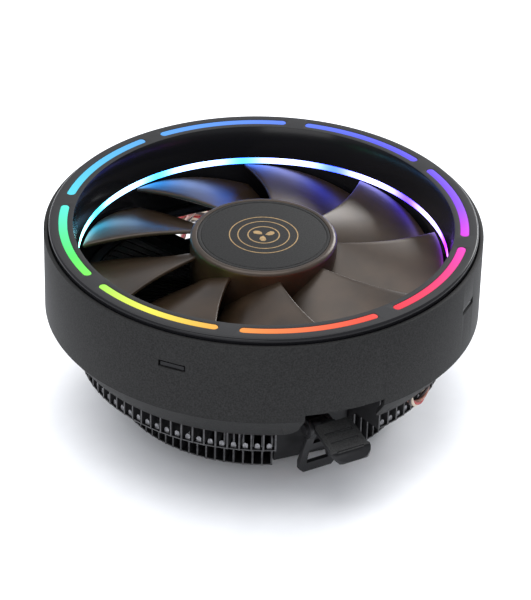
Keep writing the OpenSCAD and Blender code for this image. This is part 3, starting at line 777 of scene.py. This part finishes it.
def number(material, operation, *values):
    return add(material, "Math", dict(enumerate(values)), operation=operation).outputs[0]


def ramp(material, factor, stops, interpolation="LINEAR"):
    """Colours at places along a factor."""
    node = add(material, "ValToRGB", {"Fac": factor})
    node.color_ramp.interpolation = interpolation
    elements = node.color_ramp.elements
    while len(elements) < len(stops):
        elements.new(0.5)
    for element, (place, colour) in zip(elements, stops):
        element.position, element.color = place, (*colour, 1)
    return node.outputs["Color"]


def noise(material, size, detail=2.0, stretch=(1, 1, 1)):
    """Noise whose blotches are about size mm across."""
    moved = add(material, "Mapping", {"Vector": where(material), "Scale": stretch}).outputs["Vector"]
    settings = {"Vector": moved, "Scale": 1 / (size * MM), "Detail": detail}
    return add(material, "TexNoise", settings).outputs["Fac"]


def shades(colour, spread):
    return [tuple(min(c * (1 - spread), 1) for c in colour), tuple(min(c * (1 + spread), 1) for c in colour)]


def mottle(material, colour, size, spread, stretch=(1, 1, 1)):
    """A colour that drifts between a darker and a lighter shade."""
    dark, light = shades(colour, spread)
    blotches = noise(material, size, 3, stretch)
    feed(material, ramp(material, blotches, [(0.35, dark), (0.65, light)]), "Base Color")


def bump(material, height, depth):
    node = add(material, "Bump", {"Height": height, "Distance": depth * MM, "Strength": 1.0})
    feed(material, node.outputs["Normal"], "Normal")


# %% Plain finishes
#    slot: colour, roughness, metallic, specular, blotch mm, spread, grain mm, grain depth mm
PLAIN = {
    "steel": ((0.56, 0.56, 0.58), 0.28, 1.0, 0.5, 3, 0.08, 0.25, 0.002),
    "black_steel": ((0.011, 0.011, 0.012), 0.42, 0.0, 0.3, 4, 0.25, 0.3, 0.012),
    "shroud_plastic": ((0.012, 0.012, 0.012), 0.6, 0.0, 0.15, 0.45, 0.42, 0.38, 0.035),
    "frame_plastic": ((0.006, 0.006, 0.007), 0.25, 0.0, 0.2, 6, 0.15, 0.5, 0.004),
    "brass": ((0.72, 0.5, 0.2), 0.3, 1.0, 0.5, 1.5, 0.12, 0.2, 0.002),
    "white_plastic": ((0.8, 0.78, 0.7), 0.4, 0.0, 0.5, 2, 0.05, 0.3, 0.004),
    "black_rubber": ((0.010, 0.010, 0.011), 0.75, 0.0, 0.3, 1.5, 0.25, 0.25, 0.02),
    "plug_plastic": ((0.014, 0.014, 0.015), 0.42, 0.0, 0.4, 2, 0.2, 0.3, 0.01),
    "label_plastic": ((0.016, 0.016, 0.016), 0.65, 0.0, 0.12, 0.4, 0.4, 0.35, 0.03),
    "tab_plastic": ((0.035, 0.035, 0.035), 0.55, 0.0, 0.25, 0.4, 0.35, 0.3, 0.03),
    "led_white": ((0.9, 0.86, 0.62), 0.3, 0.0, 0.5, 1, 0.08, 0.3, 0.004),
}
finishes = {}
for slot, (colour, roughness, metallic, specular, blotch, spread, grain, depth) in PLAIN.items():
    finishes[slot] = new_finish(slot, colour, roughness, metallic, Specular_IOR_Level=specular)
    mottle(finishes[slot], colour, blotch, spread)
    bump(finishes[slot], noise(finishes[slot], grain, 4), depth)
print(len(finishes), "plain finishes")

# %% [markdown]
# Machined and wound parts show lines. Fly-cut copper and the turned core have fine rings, the
# stator is a pack of sheets, and the windings are rows of enamelled wire. A Wave texture in bands
# or rings gives each of them its lines, for the colour and for the bump alike.

# %% Lined finishes
#    slot: colour, roughness, metallic, line mm, Wave settings, spread, depth mm
ROUND = {"wave_type": "RINGS", "rings_direction": "Z"}
STACKED = {"wave_type": "BANDS", "bands_direction": "Z"}
SLANTED = {"wave_type": "BANDS", "bands_direction": "DIAGONAL"}
LINED = {
    "copper": ((0.6, 0.27, 0.15), 0.3, 1.0, 0.35, ROUND, 0.12, 0.004),
    "aluminium": ((0.62, 0.63, 0.65), 0.34, 1.0, 0.3, ROUND, 0.1, 0.004),
    "lamination": ((0.3, 0.31, 0.33), 0.4, 0.9, 0.5, STACKED, 0.35, 0.02),
    "copper_wire": ((0.5, 0.16, 0.05), 0.28, 0.8, 0.32, STACKED, 0.4, 0.06),
    "circuit_board": ((0.012, 0.07, 0.035), 0.35, 0.0, 1.4, SLANTED, 0.45, 0.01),
}
for slot, (colour, roughness, metallic, line, settings, spread, depth) in LINED.items():
    material = finishes[slot] = new_finish(slot, colour, roughness, metallic)
    wave = add(material, "TexWave", {"Vector": where(material), "Scale": 0.314 / (line * MM),
                                     "Distortion": 1.5, "Detail": 2.0, "Detail Scale": 2.0},
               **settings).outputs["Fac"]
    dark, light = shades(colour, spread)
    feed(material, ramp(material, wave, [(0.2, dark), (0.8, light)]), "Base Color")
    bump(material, wave, depth)
print(len(LINED), "lined finishes")

# %% [markdown]
# The bezel is one moulding in two textures: its flat top is etched and matte, its rim and skirt
# are polished. Height tells them apart. The fan is a dark smoked plastic with a warm, bronze sheen,
# which a thin coat over a tinted, half metallic base gives.

# %% Bezel and fan
POLISHED_BLACK, ETCHED_BLACK = (0.006, 0.006, 0.007), (0.017, 0.017, 0.018)
bezel = finishes["bezel_plastic"] = new_finish("bezel_plastic", ETCHED_BLACK, 0.5, Specular_IOR_Level=0.18)
height = add(bezel, "SeparateXYZ", {"Vector": where(bezel)}).outputs["Z"]
on_top = number(bezel, "GREATER_THAN", height, (TOP - 0.06) * MM)
grained = number(bezel, "MULTIPLY_ADD", noise(bezel, 0.4, 4), 0.5, 0.75)
feed(bezel, ramp(bezel, number(bezel, "MULTIPLY", on_top, grained),
                 [(0.0, POLISHED_BLACK), (1.0, ETCHED_BLACK)]), "Base Color")
feed(bezel, number(bezel, "MULTIPLY_ADD", on_top, 0.5, 0.18), "Roughness")
bump(bezel, number(bezel, "MULTIPLY", on_top, noise(bezel, 0.35, 4)), 0.03)

smoked = finishes["smoked_plastic"] = new_finish(
    "smoked_plastic", (0.026, 0.016, 0.009), 0.34, 0.3, Specular_IOR_Level=0.35, Coat_Weight=0.1,
    Coat_Roughness=0.25)
mottle(smoked, (0.026, 0.016, 0.009), 9, 0.25)
bump(smoked, noise(smoked, 0.5, 3), 0.006)

# %% [markdown]
# ## The lights
#
# The light guide runs once round the colour wheel. The colour is read off a ramp by the angle
# round the axis, which Arctangent 2 gives from the x and y of Object coordinates. The inner ring
# is brighter: its lamps show as paler stretches between tinted ones.

# %% Light colours
#    turn from the lever towards +X, in degrees, and the hue there on the colour wheel
HUES = [(157.6, 222), (145.6, 228), (107.6, 245), (77.6, 265), (61.6, 298), (55.6, 315), (37.6, 338),
        (17.6, 354), (10.6, 365), (-7.4, 375), (-27.4, 388), (-52.4, 415), (-72.4, 445), (-79.4, 470),
        (-97.4, 500), (-118.4, 535), (-124.4, 550), (-162.4, 568)]


def hue_at(turn):
    """The hue at a turn, between the two nearest entries of the table."""
    table = HUES + [(HUES[0][0] - 360, HUES[0][1] + 360)]
    turn = (turn - table[-1][0]) % 360 + table[-1][0]
    for (after, low), (before, high) in zip(table, table[1:]):
        if before <= turn <= after:
            return (low + (high - low) * (after - turn) / (after - before)) / 360 % 1


def light_colour(hue, saturation):
    """A lit colour. The pinks and reds are purer than the rest."""
    colour = Color()
    colour.hsv = hue, saturation + 0.17 * max(math.cos(math.tau * (hue - 0.93)), 0), 1
    return tuple(channel ** 2.2 for channel in colour)


def rainbow(material, saturation, steps=30):
    """The angle round the axis, and the ring's colour there, from a ramp of steps colours."""
    parts = add(material, "SeparateXYZ", {"Vector": where(material)}).outputs
    angle = number(material, "ARCTAN2", parts["Y"], parts["X"])
    around = number(material, "MULTIPLY_ADD", angle, 1 / math.tau, 0.5)
    stops = [(i / steps, light_colour(hue_at(360 * i / steps - 90), saturation)) for i in range(steps + 1)]
    return angle, ramp(material, around, stops)


ring_light = finishes["ring_light"] = new_finish(
    "ring_light", (0.02, 0.02, 0.02), 0.6, Specular_IOR_Level=0.1, Emission_Strength=1.0)
feed(ring_light, rainbow(ring_light, 0.66)[1], "Emission Color")

inner = finishes["inner_light"] = new_finish("inner_light", (0.05, 0.05, 0.05), 0.3, Emission_Strength=7.0)
angle, tint = rainbow(inner, 0.8)
lamp = number(inner, "MULTIPLY_ADD", number(inner, "COSINE", number(inner, "MULTIPLY", angle, 12)), 0.5, 0.5)
pale = add(inner, "Mix", {"Factor": number(inner, "MULTIPLY", lamp, 0.3)}, data_type="RGBA")
inner.node_tree.links.new(tint, pale.inputs[6])
pale.inputs[7].default_value = (1, 1, 1, 1)
feed(inner, pale.outputs[2], "Emission Color")

# %% [markdown]
# ## Putting the finishes on
#
# New pieces and carried-over CAD nodes both take the finish of their slot in the record. A few
# pieces carry more than one: the fins' outward faces are a lighter grey and their arches a light
# metallic grey, the four wires have their own colours, the emblem is gold, and the thumb tab's nose
# and every face of it that does not face up are glossier and darker, the gloss a finish and the
# darkness painted shade.

# %% Wires, fins, emblem and tab nose
def wire_finish(name, colour):
    material = new_finish(name, colour, 0.35)
    mottle(material, colour, 2, 0.12)
    bump(material, noise(material, 0.3, 2), 0.004)
    return material


WIRE_COLOURS = {"wire_red": (0.35, 0.03, 0.03), "wire_white": (0.5, 0.42, 0.33),
                "wire_black": (0.03, 0.02, 0.02), "wire_yellow": (0.32, 0.14, 0.1)}
wire_finishes = [wire_finish(name, WIRE_COLOURS[name]) for name in WIRES]
finishes["lead_red"] = wire_finishes[0]

fin_black = finishes["fins"] = new_finish("fins", (0.007, 0.007, 0.008), 0.5)
mottle(fin_black, (0.007, 0.007, 0.008), 3, 0.3)
bump(fin_black, noise(fin_black, 0.4, 3), 0.006)
# The fins' outward faces are a lighter grey, and the arches a light metallic grey.
fin_edge = new_finish("fin_edge", (0.045, 0.045, 0.047), 0.45, 0.3)
mottle(fin_edge, (0.045, 0.045, 0.047), 1.2, 0.4)
bare_metal = new_finish("bare_metal", (0.2, 0.2, 0.21), 0.4, 0.7)
mottle(bare_metal, (0.2, 0.2, 0.21), 0.5, 0.4)
gold = new_finish("gold_print", (0.33, 0.22, 0.1), 0.4, 0.6)
mottle(gold, (0.33, 0.22, 0.1), 0.8, 0.2)
# The thumb tab's nose and sides: a glossier finish, whose darker colour is painted shade.
shaded_gloss_nose = new_finish("tab_nose", (0.008, 0.008, 0.009), 0.35, Specular_IOR_Level=0.2)
mottle(shaded_gloss_nose, (0.008, 0.008, 0.009), 2, 0.2)

# %% Every piece gets its finish
def dress(piece, materials):
    """The piece's materials, in the order of its faces' numbers, which clearing sets back to 0."""
    numbers = [face.material_index for face in piece.data.polygons]
    piece.data.materials.clear()
    for material in materials:
        piece.data.materials.append(material)
    piece.data.polygons.foreach_set("material_index", numbers)


SPECIAL = {"fan_lead_wires": wire_finishes, "fins_left": [fin_black, fin_edge, bare_metal],
           "fins_right": [fin_black, fin_edge, bare_metal], "hub_emblem": [gold],
           "thumb_grip": [finishes["tab_plastic"], shaded_gloss_nose]}
tab_grip = bpy.data.objects["thumb_grip"]
# The nose and every face that does not face up take the glossy finish, so the sides carry painted shade.
tag_faces(tab_grip, 1, lambda face: face.center.y < (TAB_ROOT_Y - 11.2) * MM or face.normal.z < 0.6)
node_slots = {part["node"]: part["material_slot"] for part in frame["record"]["subparts"]}
node_slots["clip_pin"] = "black_steel"  # blackened with the fork that it goes through
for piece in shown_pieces():
    if piece.name in SPECIAL:
        dress(piece, SPECIAL[piece.name])
    elif piece.name in node_slots:
        for material_slot in piece.material_slots:
            material_slot.material = finishes[node_slots[piece.name]]
    else:
        dress(piece, [finishes[piece["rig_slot"]]])

# %% [markdown]
# ## Stage and light
#
# A pale floor, a pale world and three broad, soft lamps give the even light of a product shot. The
# floor's colour drifts a little, as paper does. A large lamp above lights the matte faces, one
# behind gives the fan and the rim their sheen, and a weak one low in front opens the shadows.

# %% Stage
def make_floor():
    deselect()
    bpy.ops.mesh.primitive_plane_add(size=8, location=(0, 0, 0))
    floor = bpy.context.object
    floor.name = "floor"
    paper = new_finish("floor_paper", (0.86, 0.87, 0.89), 0.7)
    mottle(paper, (0.86, 0.87, 0.89), 9, 0.012)
    floor.data.materials.append(paper)


def soft_light(name, place, size, watts, target=(0, 0, 0.03)):
    lamp = bpy.data.lights.new(name, "AREA")
    lamp.shape = "RECTANGLE"
    lamp.size, lamp.size_y = size
    lamp.energy = watts
    holder = bpy.data.objects.new(name, lamp)
    bpy.context.scene.collection.objects.link(holder)
    aim = (Vector(target) - Vector(place)).to_track_quat("-Z", "Y").to_matrix().to_4x4()
    holder.matrix_world = Matrix.Translation(place) @ aim


make_floor()
soft_light("above", (-0.2, 0.1, 1.5), (1.6, 1.6), 26)
soft_light("back", (0.75, 0.55, 0.45), (0.5, 0.4), 7)
soft_light("front", (-0.7, -0.8, 0.25), (0.8, 0.4), 3)
world = bpy.data.worlds.new("studio")
world.use_nodes = True
world.node_tree.nodes["Background"].inputs["Color"].default_value = (0.93, 0.95, 1, 1)
world.node_tree.nodes["Background"].inputs["Strength"].default_value = 0.95
bpy.context.scene.world = world
bpy.context.scene.view_settings.view_transform = "Standard"
print("stage ready")
